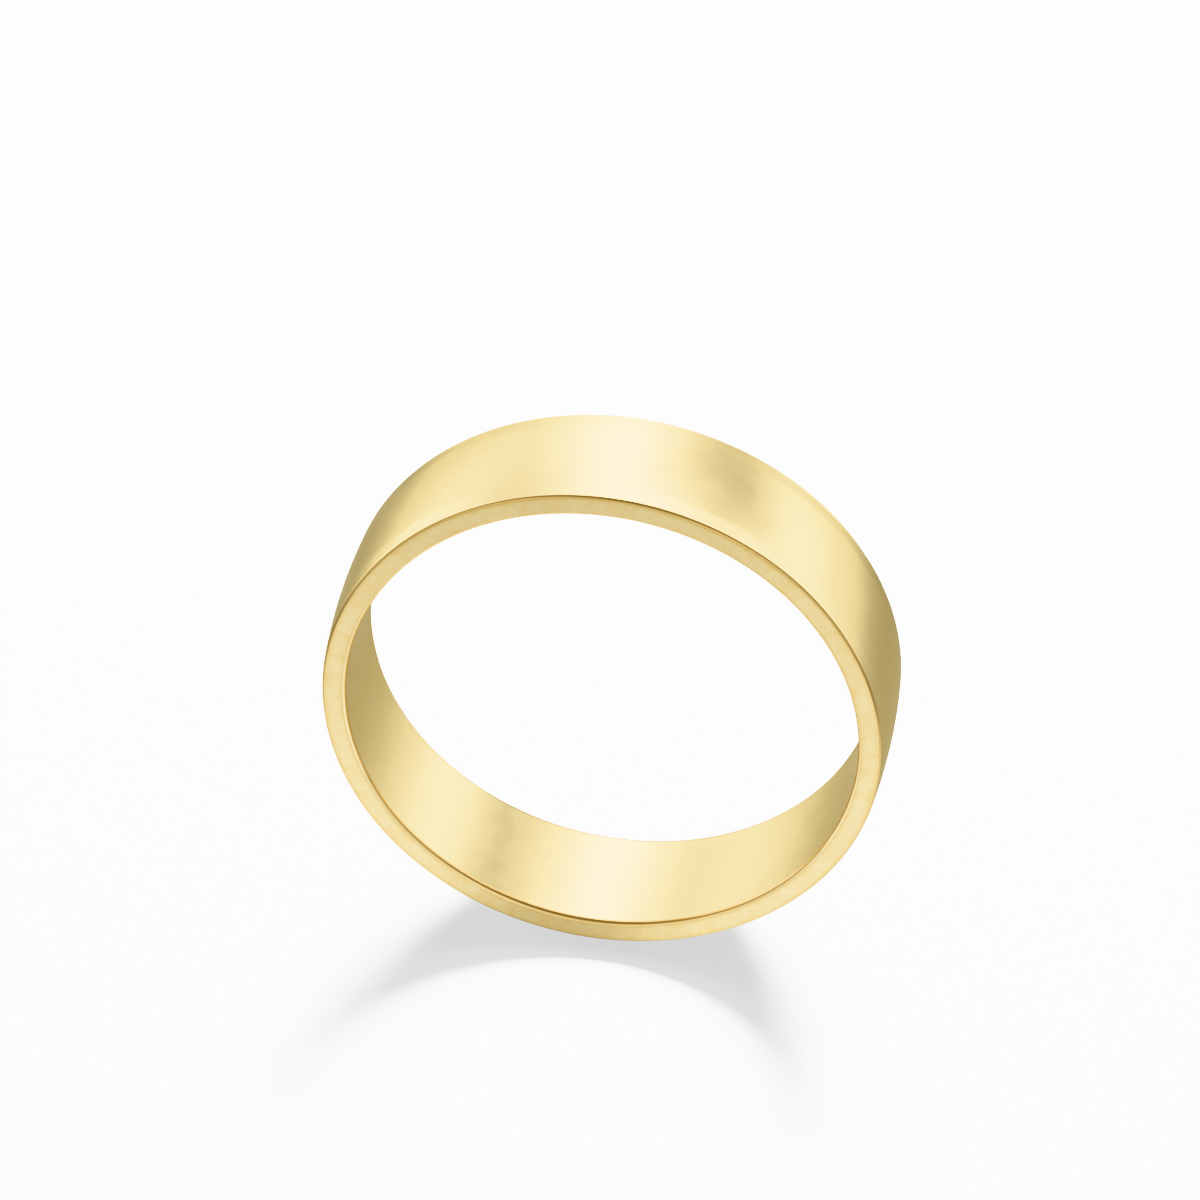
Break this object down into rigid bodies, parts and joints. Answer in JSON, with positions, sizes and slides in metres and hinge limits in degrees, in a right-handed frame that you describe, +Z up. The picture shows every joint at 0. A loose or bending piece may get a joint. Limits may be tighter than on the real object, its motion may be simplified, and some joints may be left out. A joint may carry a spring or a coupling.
{
  "type": "wedding band",
  "caption": "Plain finger ring with a straight round bore, flat sides, a barely domed outside and softly broken edges.",
  "frame": {"origin": "centre of the bore, at the middle of the band's width", "axes": "+Y along the bore, +Z up with the ring standing on its edge; the front side faces -Y"},
  "size_m": [0.021, 0.005, 0.021],
  "materials": {
    "band": "pale yellow gold alloy, soft polish on the outside and in the bore, finer satin on the two sides"
  },
  "bodies": {
    "root": {"band": "band"}
  },
  "joints": []
}
